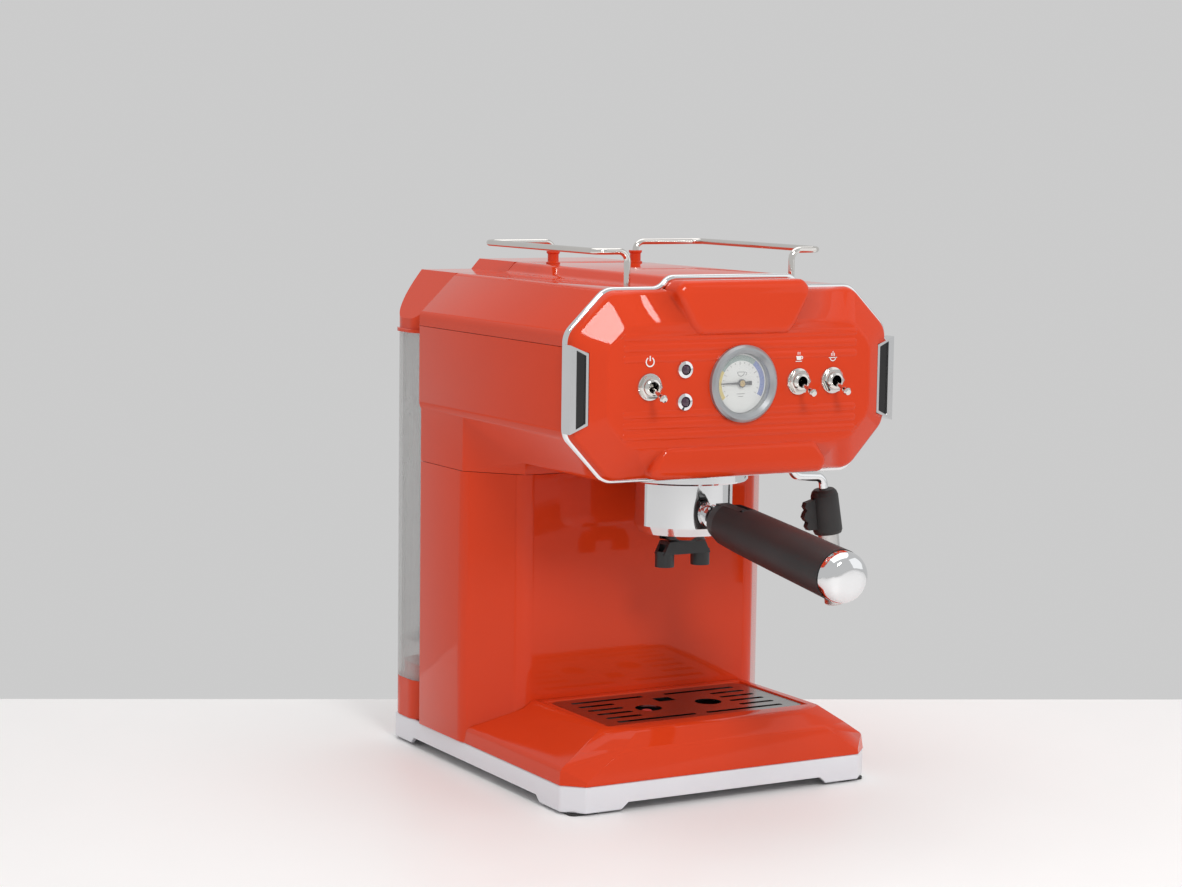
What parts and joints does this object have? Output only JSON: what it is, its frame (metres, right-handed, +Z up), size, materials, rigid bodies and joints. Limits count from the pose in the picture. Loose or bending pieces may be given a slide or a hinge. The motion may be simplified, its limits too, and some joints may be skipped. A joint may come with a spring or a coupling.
{
  "type": "espresso machine",
  "caption": "Small pump espresso machine with an octagonal head, lever switches, gauge, locking filter holder, steam wand, drip tray and a lift-off rear water tank.",
  "frame": {"origin": "middle of the base's footprint, on the surface that the feet stand on", "axes": "+X to the machine's right as a person in front of it sees it, +Y to the back, +Z up"},
  "size_m": [0.2373, 0.3901, 0.3365],
  "materials": {
    "orange_shell": "glossy moulded plastic",
    "chrome": "mirror bright",
    "silver_paint": "satin silver",
    "black_plastic": "fine matte",
    "black_gloss": "smooth",
    "rubber": "dull",
    "seal_rubber": "dull",
    "zinc_sheet": "plain sheet",
    "steel_screws": "zinc plated",
    "dark_steel": "polished stainless",
    "brushed_steel": "brushed",
    "satin_grey": "satin",
    "dial_print": "printed",
    "gauge_lens": "clear",
    "needle_black": "matte",
    "lamp_lens": "dark lens",
    "clear_tank": "clear moulded plastic",
    "red_float": "smooth",
    "grey_plastic": "fine matte",
    "aluminium_cast": "as cast",
    "brass_part": "machined",
    "board_green": "coated board",
    "hose_clear": "silicone"
  },
  "bodies": {
    "machine": {"base_frame": "silver_paint", "rubber_feet": "rubber", "bottom_plate": "zinc_sheet", "tray_housing": "orange_shell", "column_shell": "orange_shell", "head_shell": "orange_shell", "top_cover": "orange_shell", "rear_panel": "grey_plastic", "rim_trim": "chrome", "fascia": "orange_shell", "side_frames": "chrome", "side_inserts": "black_gloss", "gauge_case": "satin_grey", "gauge_dial": "dial_print", "gauge_glass": "gauge_lens", "lamp_rings": "chrome", "lamp_lenses": "lamp_lens", "switch_bodies": "black_plastic", "switch_bushings": "chrome", "group_ring": "chrome", "group_head": "aluminium_cast", "group_seal": "seal_rubber", "shower_screen": "brushed_steel", "boiler": "aluminium_cast", "thermostats": "black_plastic", "swivel_nut": "chrome", "tank_seat": "orange_shell", "tank_coupling": "black_plastic", "gallery_rails": "chrome", "rail_collars": "orange_shell", "pump": "black_plastic", "pump_bracket": "zinc_sheet", "control_board": "board_green", "steam_valve": "brass_part", "cord_gland": "rubber", "water_hoses": "hose_clear", "steam_pipe": "brass_part", "screws": "steel_screws"},
    "needle": {"gauge_needle": "needle_black"},
    "power_lever": {"power_lever": "chrome"},
    "coffee_lever": {"coffee_lever": "chrome"},
    "steam_lever": {"steam_lever": "chrome"},
    "filter_holder": {"filter_bowl": "chrome", "filter_basket": "brushed_steel", "spout": "black_plastic", "handle": "black_plastic", "handle_cap": "chrome"},
    "basket_clip": {"basket_clip": "black_plastic"},
    "steam_wand": {"wand_tube": "chrome", "wand_grip": "rubber", "wand_nozzle": "brushed_steel"},
    "tank": {"water_tank": "clear_tank", "tank_outlet": "grey_plastic", "lid_catch": "grey_plastic"},
    "tank_valve": {"valve_plunger": "grey_plastic"},
    "lid": {"tank_lid": "orange_shell", "lid_latch": "black_plastic"},
    "tray": {"drip_tray": "black_plastic"},
    "float": {"tray_float": "red_float"},
    "grid": {"drip_grid": "dark_steel"}
  },
  "joints": [
    {"name": "power_switch", "type": "hinge", "parent": "machine", "child": "power_lever", "pos_m": [-0.065, -0.136, 0.2565], "axis": [1, 0, 0], "range_deg": [-40, 0]},
    {"name": "coffee_switch", "type": "hinge", "parent": "machine", "child": "coffee_lever", "pos_m": [0.04, -0.136, 0.2565], "axis": [1, 0, 0], "range_deg": [-40, 0]},
    {"name": "steam_switch", "type": "hinge", "parent": "machine", "child": "steam_lever", "pos_m": [0.065, -0.136, 0.2565], "axis": [1, 0, 0], "range_deg": [-40, 0]},
    {"name": "needle_turn", "type": "hinge", "parent": "machine", "child": "needle", "pos_m": [0, -0.1359, 0.2565], "axis": [0, 1, 0], "range_deg": [-10, 190], "stiffness_Nm_per_rad": 0.0005},
    {"name": "holder_turn", "type": "hinge", "parent": "machine", "child": "filter_holder", "pos_m": [0, -0.07, 0.197], "axis": [0, 0, 1], "range_deg": [-50, 0]},
    {"name": "clip_flip", "type": "hinge", "parent": "filter_holder", "child": "basket_clip", "pos_m": [0, -0.116, 0.1807], "axis": [-1, 0, 0], "range_deg": [0, 25]},
    {"name": "wand_swing", "type": "hinge", "parent": "machine", "child": "steam_wand", "pos_m": [0.08, -0.072, 0.2], "axis": [0, 0, 1], "range_deg": [-60, 40]},
    {"name": "tank_lift", "type": "slide", "parent": "machine", "child": "tank", "axis": [0, 0, 1], "range_m": [0, 0.12]},
    {"name": "valve_press", "type": "slide", "parent": "tank", "child": "tank_valve", "axis": [0, 0, 1], "range_m": [0, 0.003], "stiffness_N_per_m": 120, "springref_m": -0.001},
    {"name": "lid_lift", "type": "slide", "parent": "tank", "child": "lid", "axis": [0, 0, 1], "range_m": [0, 0.06]},
    {"name": "tray_lift", "type": "slide", "parent": "machine", "child": "tray", "axis": [0, 0, 1], "range_m": [0, 0.045]},
    {"name": "float_rise", "type": "slide", "parent": "tray", "child": "float", "axis": [0, 0, 1], "range_m": [0, 0.008]},
    {"name": "grid_lift", "type": "slide", "parent": "tray", "child": "grid", "axis": [0, 0, 1], "range_m": [0, 0.03]}
  ]
}
